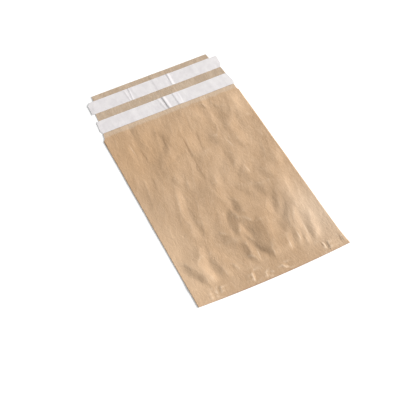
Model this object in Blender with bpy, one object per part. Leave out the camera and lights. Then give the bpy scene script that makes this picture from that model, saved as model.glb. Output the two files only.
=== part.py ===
# Flat paper mailing bag, lying on its back with its flap open.
# Lengths are in metres. X runs across the bag, Y from the bottom edge to the end of the flap, Z up.
# The origin lies on the table, under the middle of the opened bag.
import math

import bmesh
import bpy
import numpy as np

# Paper tube
bag_width = 0.240
body_height = 0.350
paper = 0.0003
side_fold = 0.0006
cut_edge = 0.0001

# Bottom, folded behind the back panel and glued
hem_height = 0.031
hem_layers = 2
hem_ramp = 0.030
bottom_glue = 0.006
bottom_bow = 0.0038

# Lengthwise glued seam of the back panel, where the left half lies inside the right half
seam_offset = 0.0
seam_overlap = 0.025
seam_ramp = 0.002

# Mouth and flap, each inset measured from the side folds
lip_height = 0.0155
notch_drop = 0.005
notch_inset = 0.0030
mouth_inset = 0.0038
waist_inset = 0.0072
corner_inset = 0.0149
end_inset = 0.0162
end_margin = 0.0115
end_skew = 0.0036

# Closure: two bands of adhesive, each under its own liner
liner_width = 0.0278
liner_length = 0.234
liner_shift = 0.002
liner_thickness = 0.0002
liner_slant = 0.003
liner_droop = 0.0007
lower_liner_margin = 0.001
liner_spacing = 0.0172
adhesive_width = 0.0225
adhesive_thickness = 0.0002
adhesive_end_gap = 0.004
seat = 0.0003

# Slack of the empty pocket
pocket_gap = 0.0003
pocket_slack = 0.0015
mouth_slack = 0.0007
slack_edge = 0.022
most_gap = 0.0036

# Grid of the crumpled front, and steps round one side fold
front_columns = 54
body_rows = 44
lip_rows = 3
margin_rows = 2
fold_steps = 4
liner_columns = 40
half_column = 0.0012

# Facets of the crumpled front: tilt at the middle, where a positive tilt faces right, then points
# down its middle line as shares of the panel's width and height, with the half width in metres.
panel_creases = [
    (0.10, [
        (0.746, 0.988, 0.0050), (0.733, 0.930, 0.0025), (0.738, 0.889, 0.0036), (0.729, 0.829, 0.0030),
        (0.700, 0.782, 0.0048), (0.688, 0.747, 0.0041),
    ]),
    (-0.09, [
        (0.208, 0.974, 0.0035), (0.204, 0.919, 0.0060), (0.196, 0.876, 0.0046), (0.200, 0.834, 0.0029),
    ]),
    (-0.14, [(0.696, 0.960, 0.0030), (0.708, 0.941, 0.0031), (0.725, 0.919, 0.0011)]),
    (-0.09, [
        (0.771, 0.947, 0.0022), (0.796, 0.892, 0.0039), (0.792, 0.843, 0.0086), (0.775, 0.793, 0.0055),
        (0.771, 0.744, 0.0047), (0.771, 0.684, 0.0041),
    ]),
    (-0.07, [
        (0.417, 0.927, 0.0069), (0.408, 0.881, 0.0072), (0.379, 0.826, 0.0033), (0.325, 0.777, 0.0086),
        (0.279, 0.739, 0.0104), (0.267, 0.668, 0.0069),
    ]),
    (0.07, [
        (0.942, 0.927, 0.0068), (0.946, 0.897, 0.0049), (0.950, 0.832, 0.0050), (0.975, 0.782, 0.0017),
    ]),
    (-0.11, [(0.358, 0.895, 0.0045), (0.358, 0.843, 0.0026), (0.338, 0.796, 0.0010)]),
    (-0.08, [(0.221, 0.867, 0.0013), (0.221, 0.834, 0.0043), (0.229, 0.804, 0.0024)]),
    (0.08, [
        (0.417, 0.834, 0.0069), (0.408, 0.782, 0.0121), (0.346, 0.733, 0.0096), (0.283, 0.698, 0.0027),
    ]),
    (-0.13, [(0.721, 0.826, 0.0026), (0.696, 0.788, 0.0026), (0.675, 0.758, 0.0011)]),
    (0.14, [(0.525, 0.818, 0.0069), (0.508, 0.755, 0.0086), (0.512, 0.698, 0.0069)]),
    (0.08, [(0.608, 0.813, 0.0028), (0.583, 0.766, 0.0055), (0.579, 0.703, 0.0035)]),
    (0.07, [
        (0.842, 0.813, 0.0024), (0.838, 0.788, 0.0086), (0.812, 0.739, 0.0044), (0.829, 0.700, 0.0086),
        (0.821, 0.665, 0.0019),
    ]),
    (0.09, [(0.450, 0.804, 0.0043), (0.429, 0.714, 0.0037)]),
    (0.08, [(0.925, 0.791, 0.0015), (0.925, 0.766, 0.0034), (0.912, 0.722, 0.0052)]),
    (-0.05, [(0.250, 0.782, 0.0072), (0.208, 0.717, 0.0104), (0.233, 0.648, 0.0040)]),
    (-0.07, [(0.633, 0.774, 0.0030), (0.642, 0.758, 0.0090), (0.662, 0.698, 0.0041)]),
    (0.12, [(0.617, 0.711, 0.0130), (0.567, 0.643, 0.0160), (0.517, 0.580, 0.0138)]),
    (0.09, [
        (0.446, 0.681, 0.0020), (0.433, 0.643, 0.0031), (0.412, 0.594, 0.0052), (0.408, 0.564, 0.0035),
    ]),
    (-0.11, [(0.950, 0.668, 0.0072), (0.925, 0.585, 0.0144), (0.879, 0.506, 0.0138)]),
    (-0.07, [
        (0.667, 0.657, 0.0025), (0.683, 0.629, 0.0062), (0.675, 0.583, 0.0049), (0.675, 0.487, 0.0076),
    ]),
    (-0.08, [(0.271, 0.635, 0.0017), (0.267, 0.613, 0.0048), (0.271, 0.588, 0.0031)]),
    (0.10, [
        (0.542, 0.575, 0.0030), (0.521, 0.520, 0.0063), (0.492, 0.471, 0.0101), (0.492, 0.432, 0.0041),
        (0.504, 0.394, 0.0016),
    ]),
    (-0.08, [(0.821, 0.558, 0.0052), (0.775, 0.498, 0.0076)]),
    (0.13, [
        (0.258, 0.555, 0.0029), (0.254, 0.520, 0.0045), (0.225, 0.451, 0.0054), (0.221, 0.410, 0.0058),
        (0.225, 0.369, 0.0034), (0.217, 0.328, 0.0065), (0.217, 0.293, 0.0050),
    ]),
    (-0.11, [
        (0.804, 0.503, 0.0052), (0.804, 0.476, 0.0059), (0.825, 0.446, 0.0041), (0.842, 0.438, 0.0016),
    ]),
    (-0.08, [
        (0.600, 0.482, 0.0020), (0.613, 0.460, 0.0069), (0.650, 0.413, 0.0047), (0.667, 0.364, 0.0052),
    ]),
    (0.04, [
        (0.312, 0.451, 0.0035), (0.304, 0.389, 0.0115), (0.304, 0.347, 0.0033), (0.267, 0.298, 0.0029),
    ]),
    (-0.11, [(0.717, 0.451, 0.0013), (0.717, 0.432, 0.0062), (0.733, 0.367, 0.0059)]),
    (0.25, [(0.929, 0.430, 0.0160), (0.925, 0.328, 0.0160), (0.925, 0.208, 0.0144)]),
    (-0.20, [
        (0.525, 0.416, 0.0043), (0.533, 0.391, 0.0048), (0.525, 0.350, 0.0060), (0.533, 0.317, 0.0031),
    ]),
    (-0.14, [
        (0.787, 0.389, 0.0052), (0.771, 0.339, 0.0043), (0.750, 0.306, 0.0050), (0.729, 0.265, 0.0043),
    ]),
    (-0.15, [(0.396, 0.367, 0.0052), (0.375, 0.323, 0.0104), (0.375, 0.265, 0.0102)]),
    (-0.26, [
        (0.471, 0.364, 0.0038), (0.463, 0.334, 0.0072), (0.450, 0.290, 0.0078), (0.442, 0.241, 0.0031),
    ]),
    (0.10, [(0.717, 0.342, 0.0014), (0.700, 0.301, 0.0052), (0.713, 0.263, 0.0013)]),
    (-0.26, [(0.500, 0.320, 0.0052), (0.529, 0.268, 0.0086), (0.521, 0.222, 0.0026)]),
    (-0.14, [
        (0.817, 0.309, 0.0010), (0.792, 0.268, 0.0053), (0.750, 0.224, 0.0050), (0.742, 0.183, 0.0031),
    ]),
    (-0.22, [
        (0.275, 0.293, 0.0015), (0.308, 0.279, 0.0048), (0.350, 0.252, 0.0112), (0.362, 0.224, 0.0086),
        (0.392, 0.186, 0.0052),
    ]),
    (-0.28, [
        (0.592, 0.287, 0.0034), (0.588, 0.257, 0.0060), (0.558, 0.202, 0.0114), (0.550, 0.153, 0.0115),
        (0.546, 0.115, 0.0058), (0.554, 0.082, 0.0035),
    ]),
    (0.23, [
        (0.842, 0.260, 0.0028), (0.825, 0.208, 0.0055), (0.812, 0.142, 0.0035), (0.800, 0.074, 0.0031),
    ]),
    (0.16, [
        (0.196, 0.252, 0.0035), (0.183, 0.213, 0.0052), (0.163, 0.186, 0.0086), (0.158, 0.159, 0.0058),
        (0.163, 0.137, 0.0058), (0.175, 0.109, 0.0047), (0.183, 0.077, 0.0034),
    ]),
    (0.12, [
        (0.254, 0.233, 0.0030), (0.267, 0.205, 0.0086), (0.279, 0.150, 0.0086), (0.275, 0.082, 0.0039),
    ]),
    (-0.22, [
        (0.008, 0.227, 0.0069), (0.058, 0.164, 0.0086), (0.092, 0.131, 0.0060), (0.117, 0.082, 0.0030),
    ]),
    (-0.13, [(0.704, 0.227, 0.0037), (0.713, 0.164, 0.0029)]),
    (-0.16, [(0.475, 0.224, 0.0021), (0.492, 0.181, 0.0038), (0.517, 0.120, 0.0019)]),
    (0.21, [
        (0.933, 0.222, 0.0052), (0.921, 0.170, 0.0090), (0.896, 0.120, 0.0059), (0.867, 0.074, 0.0041),
    ]),
    (-0.18, [
        (0.438, 0.208, 0.0031), (0.429, 0.159, 0.0052), (0.425, 0.129, 0.0038), (0.450, 0.090, 0.0035),
    ]),
    (0.13, [(0.317, 0.175, 0.0043), (0.350, 0.140, 0.0053), (0.408, 0.090, 0.0052)]),
    (0.16, [(0.783, 0.172, 0.0035), (0.771, 0.129, 0.0033), (0.750, 0.088, 0.0028)]),
    (0.09, [
        (0.471, 0.170, 0.0010), (0.467, 0.159, 0.0019), (0.475, 0.126, 0.0047), (0.475, 0.085, 0.0014),
    ]),
    (0.17, [(0.717, 0.161, 0.0041), (0.704, 0.129, 0.0040), (0.679, 0.077, 0.0022)]),
    (0.15, [(0.312, 0.142, 0.0030), (0.350, 0.090, 0.0030)]),
]
crease_edge = 0.35
crease_reach = 0.024
crease_fade = 0.020

# Long swells under the creases: waves across, waves along, phase in turns and height in metres.
panel_swells = [
    (1.5, 1.0, 0.10, 0.00030),
    (2.5, -1.5, 0.35, 0.00025),
    (4.0, 2.0, 0.70, 0.00018),
]

# Ridges across each liner, left by the seam and by folding: share of its length, half width and height.
lower_liner_ridges = [
    (0.487, 0.0030, 0.0011),
    (0.600, 0.0045, 0.0006),
]
upper_liner_ridges = [
    (0.290, 0.0025, 0.0004),
    (0.318, 0.0025, 0.0005),
    (0.605, 0.0030, 0.0010),
]

# Heights worked out from the sizes above
mouth_height = body_height + lip_height
lower_liner_start = mouth_height + lower_liner_margin
upper_liner_start = lower_liner_start + liner_width + liner_spacing
waist_height = upper_liner_start
corner_height = upper_liner_start + liner_width
bag_length = corner_height + end_margin
pocket_floor = hem_height + bottom_glue


def remove_everything():
    for thing in list(bpy.data.objects):
        bpy.data.objects.remove(thing, do_unlink=True)


def smooth(share):
    # 0 below 0 and 1 above 1, with level ends.
    share = np.clip(share, 0.0, 1.0)
    return share * share * (3.0 - 2.0 * share)


def bell(distance):
    # 1 at 0, falling to nothing at 1, as the rounded top of a paper ridge does.
    return np.clip(1.0 - distance * distance, 0.0, None) ** 2


# Outline of the bag


def skew_at(height):
    # How far the open end is pulled over to the right at this height.
    return end_skew * smooth((height - body_height) / (waist_height - body_height) + 0.25)


def inset_at(height):
    # How far the cut edges stand in from the side folds at this height.
    notch_end = body_height + notch_drop
    heights = [body_height, notch_end, mouth_height, waist_height, corner_height, bag_length]
    insets = [0.0, notch_inset, mouth_inset, waist_inset, corner_inset, end_inset]
    return np.interp(height, heights, insets)


def edges_at(height):
    # Left and right edge of the paper at this height.
    half = bag_width / 2 - inset_at(height)
    skew = skew_at(height) if height > body_height else 0.0
    return skew - half, skew + half


def bottom_lift(across):
    # The bottom edge bows outwards, so its corners lie a little higher up than its middle.
    return bottom_bow * across * across


# Heights of the paper layers


def back_level(height):
    # Underside of the back panel: on the folded hem, then down to the table.
    lift = 1.0 - smooth((height - hem_height) / hem_ramp)
    return hem_layers * paper * lift


def seam_columns():
    # Shares of the width at which the back panel changes height, with plain ones between.
    inner = 0.5 + seam_offset / bag_width
    outer = inner + seam_overlap / bag_width
    cut = cut_edge / bag_width
    ramp = seam_ramp / bag_width
    rise = [inner - ramp, inner - cut, inner]
    fall = [outer, outer + cut]
    return [0.0, inner / 2] + rise + fall + [(outer + 1.0) / 2, 1.0]


seam_steps_above = [0, 0, 0, 1, 1, 1, 0, 0, 0]
seam_steps_below = [0, 0, 0, 1, 0, 0, 0, 0, 0]


def crease_height(across, height):
    # Sum of the facets. Each one tilts over its own width, and the paper comes back to its level
    # over the reach on both sides and over the fade at both ends.
    x = across * bag_width
    total = np.zeros_like(x)
    for tilt, points in panel_creases:
        middle, along, half_width = np.array(points[::-1]).T
        middle = middle * bag_width
        along = along * mouth_height
        run = math.hypot(middle[-1] - middle[0], along[-1] - along[0])
        away = (x - np.interp(height, along, middle)) * (along[-1] - along[0]) / run
        width = np.interp(height, along, half_width)
        ramp = np.hypot(away / width + 1.0, crease_edge) - np.hypot(away / width - 1.0, crease_edge)
        fade = min(crease_fade, 0.6 * run)
        ends = smooth((height - along[0]) / fade + 0.5) * smooth((along[-1] - height) / fade + 0.5)
        total -= tilt * width * (ramp / 2 - np.tanh(away / crease_reach)) * ends
    return total


def swell_height(across, along):
    # Broad soft waves of the slack panel.
    total = np.zeros_like(across)
    for waves_across, waves_along, phase, height in panel_swells:
        total += height * np.sin(2 * math.pi * (waves_across * across + waves_along * along + phase))
    return total


def gap_at(across, height):
    # Clear height of the pocket, over the doubled paper of the seam.
    x = across * bag_width
    near_side = smooth(np.minimum(x, bag_width - x) / slack_edge)
    near_floor = smooth((height - pocket_floor) / slack_edge)
    near_mouth = smooth((mouth_height - height) / slack_edge)
    belly = pocket_slack * np.sin(math.pi * across)
    crumple = belly + crease_height(across, height) + swell_height(across, height / mouth_height)
    inside = near_mouth * crumple + (1.0 - near_mouth) * mouth_slack
    slack = near_side * near_floor * np.clip(inside, 0.0, None)
    return pocket_gap + most_gap * np.tanh(slack / most_gap)


# Skins built from rows of points


def add_row(shell, across, height, level):
    return [shell.verts.new(point) for point in zip(across, height, level)]


def skin_rows(shell, first, second):
    # Four-sided faces between two rows of equally many points.
    for index in range(len(first) - 1):
        corners = [first[index], first[index + 1], second[index + 1], second[index]]
        shell.faces.new(corners)


def zip_rows(shell, first, second):
    # Three-sided faces between two rows with different counts, taken in order from left to right.
    i = 0
    j = 0
    while i < len(first) - 1 or j < len(second) - 1:
        if j == len(second) - 1 or (i < len(first) - 1 and first[i + 1].co.x <= second[j + 1].co.x):
            shell.faces.new([first[i], first[i + 1], second[j]])
            i += 1
        else:
            shell.faces.new([first[i], second[j + 1], second[j]])
            j += 1


def fold_arc(shell, top, bottom, reach):
    # Half an ellipse from the top point to the bottom point, reaching out sideways.
    middle = (top.co.z + bottom.co.z) / 2
    rise = (top.co.z - bottom.co.z) / 2
    points = [top]
    for step in range(1, fold_steps):
        angle = math.pi * step / fold_steps
        x = top.co.x + reach * math.sin(angle)
        points.append(shell.verts.new((x, top.co.y, middle + rise * math.cos(angle))))
    return points + [bottom]


def finish_object(name, shell, material, smooth_angle):
    bmesh.ops.recalc_face_normals(shell, faces=shell.faces)
    bmesh.ops.translate(shell, verts=shell.verts, vec=(0.0, -bag_length / 2, 0.0))
    mesh = bpy.data.meshes.new(name)
    shell.to_mesh(mesh)
    shell.free()
    mesh.materials.append(material)
    mesh.shade_smooth()
    mesh.set_sharp_from_angle(angle=math.radians(smooth_angle))
    part = bpy.data.objects.new(name, mesh)
    bpy.context.scene.collection.objects.link(part)
    return part


# The folded bag


def row_heights():
    # Heights of the rows: the hem and its glue, then the pocket, the lip and the flap.
    hem = [side_fold, hem_height / 2, hem_height - cut_edge, hem_height]
    body = list(np.linspace(pocket_floor, body_height, body_rows))
    lip = list(np.linspace(body_height + notch_drop, mouth_height, lip_rows))
    flap = [
        lower_liner_start + liner_width / 2,
        lower_liner_start + liner_width,
        waist_height,
        waist_height + liner_width / 2,
        corner_height,
    ]
    return hem, body, lip, flap + list(np.linspace(corner_height, bag_length, margin_rows)[1:])


def column_places(height, shares):
    # Places across the paper, and the heights of the row's points with the bow of the bottom edge.
    left, right = edges_at(height)
    if height <= body_height:
        left += side_fold
        right -= side_fold
    across = left + (right - left) * shares
    near_bottom = np.clip(1.0 - height / hem_height, 0.0, 1.0)
    bow = bottom_lift(2 * across / bag_width) * near_bottom
    return across, height + bow


def front_levels(shares, height):
    # Lower and upper face of the front panel.
    glued = (hem_layers + 2) * paper
    if height <= hem_height:
        return None, np.full_like(shares, glued)
    lower = back_level(height) + 2 * paper + gap_at(shares, height)
    return lower, lower + paper


def back_levels(height):
    # Lower and upper face of the back panel, with the steps of the seam.
    above = np.array(seam_steps_above) * paper
    below = np.array(seam_steps_below) * paper
    if height < hem_height:
        return np.zeros_like(below), None
    level = back_level(height)
    return level + below, level + paper + above


def paper_bag(material):
    shell = bmesh.new()
    front_shares = np.linspace(0.0, 1.0, front_columns + 1)
    back_shares = np.array(seam_columns())
    hem, body, lip, flap = row_heights()

    front_top = []
    front_under = []
    back_top = []
    back_under = []
    for height in hem + body + lip:
        across, along = column_places(height, front_shares)
        lower, upper = front_levels(front_shares, height)
        front_top.append(add_row(shell, across, along, upper))
        if height >= pocket_floor:
            front_under.append(add_row(shell, across, along, lower))
    for height in hem + body + lip + flap:
        across, along = column_places(height, back_shares)
        lower, upper = back_levels(height)
        back_under.append(add_row(shell, across, along, lower))
        if height >= pocket_floor:
            back_top.append(add_row(shell, across, along, upper))

    for rows in (front_top, front_under, back_top, back_under):
        for first, second in zip(rows, rows[1:]):
            skin_rows(shell, first, second)

    # Side folds: an outer arc from the bottom edge to the notch, and an inner one along the pocket.
    closed = len(hem) + len(body)
    for side, reach in ((0, -side_fold), (-1, side_fold)):
        outer = []
        inner = []
        for index in range(closed):
            outer.append(fold_arc(shell, front_top[index][side], back_under[index][side], reach))
        inner_reach = reach * (side_fold - paper) / side_fold
        for index in range(len(body)):
            inner.append(fold_arc(shell, front_under[index][side], back_top[index][side], inner_reach))
        for arcs in (outer, inner):
            for first, second in zip(arcs, arcs[1:]):
                skin_rows(shell, first, second)
        # The end of the inner fold at the pocket's floor, and the fold's own cut end at the notch.
        shell.faces.new(inner[0])
        skin_rows(shell, outer[-1], inner[-1])
        # Cut edges of the lip and the flap.
        lip_pair = (front_top[closed - 1 :], front_under[len(body) - 1 :])
        flap_pair = (back_top[len(body) - 1 :], back_under[closed - 1 :])
        for first, second in (lip_pair, flap_pair):
            skin_rows(shell, [row[side] for row in first], [row[side] for row in second])
        if side == 0:
            left_bottom = outer[0]
        else:
            right_bottom = outer[0]

    # Cut edges of the mouth and the flap, and the glued floor of the pocket.
    skin_rows(shell, front_top[-1], front_under[-1])
    skin_rows(shell, back_top[-1], back_under[-1])
    zip_rows(shell, front_under[0], back_top[0])

    # Rounded bottom edge, closed against the two side folds.
    across = [point.co.x for point in front_top[0]]
    along = [point.co.y - side_fold for point in front_top[0]]
    middle = left_bottom[fold_steps // 2].co.z
    nose = add_row(shell, across, along, np.full(len(across), middle))
    skin_rows(shell, front_top[0], nose)
    zip_rows(shell, nose, back_under[0])
    for arc, corner in ((left_bottom, nose[0]), (right_bottom, nose[-1])):
        for first, second in zip(arc, arc[1:]):
            shell.faces.new([first, second, corner])

    return finish_object("paper_bag", shell, material, 50)


# Closure strips


def seam_band(start_height, width):
    # Places across at which a strip climbs onto the doubled paper of the seam and comes down again.
    shares = seam_columns()
    rise = []
    fall = []
    for height in (start_height, start_height + width):
        left, right = edges_at(height)
        rise.append(left + (right - left) * shares[2])
        fall.append(left + (right - left) * shares[6])
    return [min(rise), min(rise) + seam_ramp / 2, max(fall), max(fall) + seam_ramp]


def ridge_height(across, start, length, ridges):
    total = np.zeros_like(across)
    for share, half_width, height in ridges:
        total += height * bell((across - start - share * length) / half_width)
    return total


def droop_height(across, height):
    # The ends that stand out past the flap hang down a little.
    left, right = edges_at(height)
    outside = np.maximum(left - across, across - right)
    return -liner_droop * smooth(outside / (corner_inset - mouth_inset))


def strip_columns(start, length, band, ridges):
    # Even columns, and more at the seam and at each ridge so that these keep their form.
    even = start + np.linspace(0.0, length, liner_columns + 1)
    extra = list(band)
    for share, half_width, _ in ridges:
        middle = start + share * length
        extra += [middle + offset * half_width for offset in (-1.0, -0.5, 0.0, 0.5, 1.0)]
    kept = [place for place in even if min(abs(place - other) for other in extra) > half_column]
    return np.array(sorted(kept + extra))


def closure_strip(
    name, material, start_height, width, start, length, slant, stack, thickness, band, ridges
):
    # A thin strip over the flap. Its right end is cut aslant, and stack is its height over the paper.
    shell = bmesh.new()
    columns = strip_columns(start, length, band, ridges)
    along_share = (columns - start) / length
    lower = []
    upper = []
    for share in (0.0, 0.5, 1.0):
        height = start_height + width * share
        across = columns - slant * (1.0 - share) * along_share**8
        level = paper + paper * np.interp(columns, band, [0.0, 1.0, 1.0, 0.0]) + stack
        level = level + ridge_height(columns, start, length, ridges) + droop_height(across, height)
        along = np.full(len(across), height)
        lower.append(add_row(shell, across, along, level))
        upper.append(add_row(shell, across, along, level + thickness))
    for rows in (lower, upper):
        for first, second in zip(rows, rows[1:]):
            skin_rows(shell, first, second)
    skin_rows(shell, lower[0], upper[0])
    skin_rows(shell, lower[-1], upper[-1])
    for side in (0, -1):
        skin_rows(shell, [row[side] for row in lower], [row[side] for row in upper])
    return finish_object(name, shell, material, 50)


def adhesive_band(name, material, liner_start):
    # Narrower and shorter than its liner, so that it stays covered and clear of the flap's edges.
    inset = inset_at(liner_start + liner_width)
    length = bag_width - 2 * inset - 2 * adhesive_end_gap
    start = skew_at(liner_start + liner_width / 2) - length / 2
    height = liner_start + (liner_width - adhesive_width) / 2
    band = seam_band(liner_start, liner_width)
    thickness = adhesive_thickness
    return closure_strip(
        name, material, height, adhesive_width, start, length, 0.0, seat, thickness, band, []
    )


def release_liner(name, material, liner_start, ridges):
    # Wider than the band under it, with both ends standing out past the flap.
    stack = seat + adhesive_thickness + seat
    start = liner_shift - liner_length / 2
    length = liner_length
    slant = liner_slant
    thickness = liner_thickness
    band = seam_band(liner_start, liner_width)
    return closure_strip(
        name, material, liner_start, liner_width, start, length, slant, stack, thickness, band, ridges
    )


# Materials


def plain_material(name, colour, roughness):
    material = bpy.data.materials.new(name)
    material.use_nodes = True
    surface = material.node_tree.nodes["Principled BSDF"]
    surface.inputs["Base Color"].default_value = (*colour, 1.0)
    surface.inputs["Roughness"].default_value = roughness
    surface.inputs["Metallic"].default_value = 0.0
    return material


def kraft_paper():
    return plain_material("kraft_paper", (0.58, 0.38, 0.23), 0.75)


def release_paper():
    return plain_material("release_paper", (0.80, 0.79, 0.79), 0.35)


def clear_adhesive():
    return plain_material("clear_adhesive", (0.70, 0.66, 0.55), 0.25)


def build():
    remove_everything()
    paper_bag(kraft_paper())
    adhesive = clear_adhesive()
    adhesive_band("lower_adhesive", adhesive, lower_liner_start)
    adhesive_band("upper_adhesive", adhesive, upper_liner_start)
    liner = release_paper()
    release_liner("lower_liner", liner, lower_liner_start, lower_liner_ridges)
    release_liner("upper_liner", liner, upper_liner_start, upper_liner_ridges)


build()
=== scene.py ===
import math

import bmesh
import bpy
import numpy as np
from mathutils import Matrix, Vector


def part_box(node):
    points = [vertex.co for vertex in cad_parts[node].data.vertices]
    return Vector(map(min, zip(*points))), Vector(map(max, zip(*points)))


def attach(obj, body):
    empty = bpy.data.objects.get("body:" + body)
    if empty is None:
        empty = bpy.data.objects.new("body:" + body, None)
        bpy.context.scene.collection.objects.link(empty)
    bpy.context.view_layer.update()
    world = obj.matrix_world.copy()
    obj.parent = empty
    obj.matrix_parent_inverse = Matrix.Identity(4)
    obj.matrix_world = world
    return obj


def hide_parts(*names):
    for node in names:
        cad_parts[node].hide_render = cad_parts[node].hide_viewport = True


# Kraft paper mailing bag with its flap open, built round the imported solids.
# Places on the bag are "across" from its left fold and "along" from its bottom edge, in metres.

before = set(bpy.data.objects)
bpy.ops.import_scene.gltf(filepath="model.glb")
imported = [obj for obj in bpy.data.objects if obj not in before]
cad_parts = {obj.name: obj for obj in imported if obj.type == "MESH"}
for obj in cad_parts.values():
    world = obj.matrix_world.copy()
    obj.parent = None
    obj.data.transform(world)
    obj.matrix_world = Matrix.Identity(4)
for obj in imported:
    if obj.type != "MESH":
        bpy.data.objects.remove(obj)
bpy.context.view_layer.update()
bagLow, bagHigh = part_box("paper_bag")
lowerLinerLow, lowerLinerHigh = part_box("lower_liner")
upperLinerLow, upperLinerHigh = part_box("upper_liner")
print("frame loaded:", ", ".join(sorted(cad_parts)))

mm = 0.001
bagLeft = bagLow.x
bagBottom = bagLow.y


def smooth(share):
    # 3 s^2 - 2 s^3, held at 0 and 1 outside.
    share = np.clip(share, 0.0, 1.0)
    return share * share * (3.0 - 2.0 * share)


def bell(distance):
    # (1 - d^2)^2 inside 1, nothing outside.
    return np.clip(1.0 - distance * distance, 0.0, None) ** 2


latticeSize = 96


def softNoise(across, along, seed):
    # Random heights at whole numbers, joined by the curve 6 f^5 - 15 f^4 + 10 f^3 both ways.
    lattice = np.random.default_rng(seed).uniform(-1.0, 1.0, (latticeSize, latticeSize))
    column = np.floor(across).astype(int)
    row = np.floor(along).astype(int)
    u = across - column
    v = along - row
    u = u * u * u * (u * (u * 6.0 - 15.0) + 10.0)
    v = v * v * v * (v * (v * 6.0 - 15.0) + 10.0)
    nextColumn, nextRow = (column + 1) % latticeSize, (row + 1) % latticeSize
    column, row = column % latticeSize, row % latticeSize
    near = lattice[row, column] * (1 - u) + lattice[row, nextColumn] * u
    far = lattice[nextRow, column] * (1 - u) + lattice[nextRow, nextColumn] * u
    return near * (1 - v) + far * v


def ridgedNoise(across, along, seed):
    # 1 - 2 |noise|: sharp tops between soft hollows, as crumpled paper has.
    return 1.0 - 2.0 * np.abs(softNoise(across, along, seed))


# Meshes from grids of points


def gridQuads(first, rows, columns):
    # Corner numbers of the quads between neighbouring rows and columns.
    number = first + np.arange(rows * columns).reshape(rows, columns)
    corners = (number[:-1, :-1], number[:-1, 1:], number[1:, 1:], number[1:, :-1])
    return np.stack(corners, -1).reshape(-1, 4)


def zipTriangles(first, firstPlace, second, secondPlace):
    # Triangles between two rows with different counts. Each edge of one row joins the point that the
    # other row has reached at the edge's right end.
    reached = np.searchsorted(secondPlace[1:], firstPlace[1:], side="left")
    fromFirst = np.stack((first[:-1], first[1:], second[reached]), -1)
    reached = np.searchsorted(firstPlace[1:], secondPlace[1:], side="right")
    fromSecond = np.stack((first[reached], second[1:], second[:-1]), -1)
    return np.concatenate((fromFirst, fromSecond))


def meshPiece(name, grids, zips=()):
    # One closed mesh from grids whose borders meet. A zip names two grids and a row of each.
    points = []
    faces = []
    starts = []
    total = 0
    for grid in grids:
        rows, columns = grid.shape[:2]
        starts.append(total)
        faces.extend(gridQuads(total, rows, columns).tolist())
        points.append(grid.reshape(-1, 3))
        total += rows * columns
    for firstGrid, firstRow, secondGrid, secondRow in zips:
        ends = []
        for which, row in ((firstGrid, firstRow), (secondGrid, secondRow)):
            rows, columns = grids[which].shape[:2]
            ends.append(starts[which] + (row % rows) * columns + np.arange(columns))
            ends.append(grids[which][row, :, 0])
        faces.extend(zipTriangles(*ends).tolist())
    mesh = bpy.data.meshes.new(name)
    mesh.from_pydata(np.concatenate(points).tolist(), [], faces)
    weld = bmesh.new()
    weld.from_mesh(mesh)
    bmesh.ops.remove_doubles(weld, verts=weld.verts, dist=2e-6)
    bmesh.ops.dissolve_degenerate(weld, edges=weld.edges, dist=1e-6)
    bmesh.ops.recalc_face_normals(weld, faces=weld.faces)
    openEdges = sum(1 for edge in weld.edges if len(edge.link_faces) != 2)
    weld.to_mesh(mesh)
    weld.free()
    mesh.shade_smooth()
    mesh.set_sharp_from_angle(angle=math.radians(60))
    piece = bpy.data.objects.new(name, mesh)
    bpy.context.scene.collection.objects.link(piece)
    print(f"{name}: {len(mesh.vertices)} points, {len(mesh.polygons)} faces, {openEdges} open edges")
    return piece


def place(across, along, level):
    # Points of the frame from places on the bag.
    across, along, level = np.broadcast_arrays(across, along, level)
    return np.stack((bagLeft + across, bagBottom + along, level), -1)


# Bag: folded tube, glued hem and tapered flap

bag = {
    "width": bagHigh.x - bagLow.x,
    "length": bagHigh.y - bagLow.y,
    "paper": 0.18 * mm,
    "notch": 350.0 * mm,  # the side folds end here
    "mouth": 365.5 * mm,  # cut edge of the front panel
    "hem": 31.0 * mm,
    "hemLayers": 2,
    "hemRamp": 26.0 * mm,
    "floor": 36.0 * mm,  # bottom of the pocket
    "bow": 3.8 * mm,  # the bottom edge curves up towards its corners, more to the left
    "sag": 1.3 * mm,
    "bowLean": 0.8 * mm,
    "flare": 2.1 * mm,  # the lower right corner stands out
    "foldReach": 0.5 * mm,
    "gap": 0.12 * mm,
    "slack": 1.5 * mm,
    "mostSlack": 3.7 * mm,
    "mouthSlack": 0.7 * mm,
    "sideRun": 20.0 * mm,
    "seam": (0.500, 0.604),  # shares of the width between which the back is double
    "seamRamp": 1.6 * mm,
    "seamSoft": 5.0 * mm,  # width of the slopes that the seam makes on the inside
    "skew": 3.6 * mm,
    # Heights over the bottom edge and how far the cut edges stand in from the folds there
    "taper": ((350.0, 0.0), (354.0, 2.9), (365.5, 3.8), (411.5, 7.2), (440.0, 14.9), (452.0, 16.2)),
    "columns": 160,
    "backColumns": 36,
    "hemRows": 20,
    "pocketRows": 170,
    "lipRows": 9,
    "flapRows": 34,
    "arcSteps": 6,
}

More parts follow.
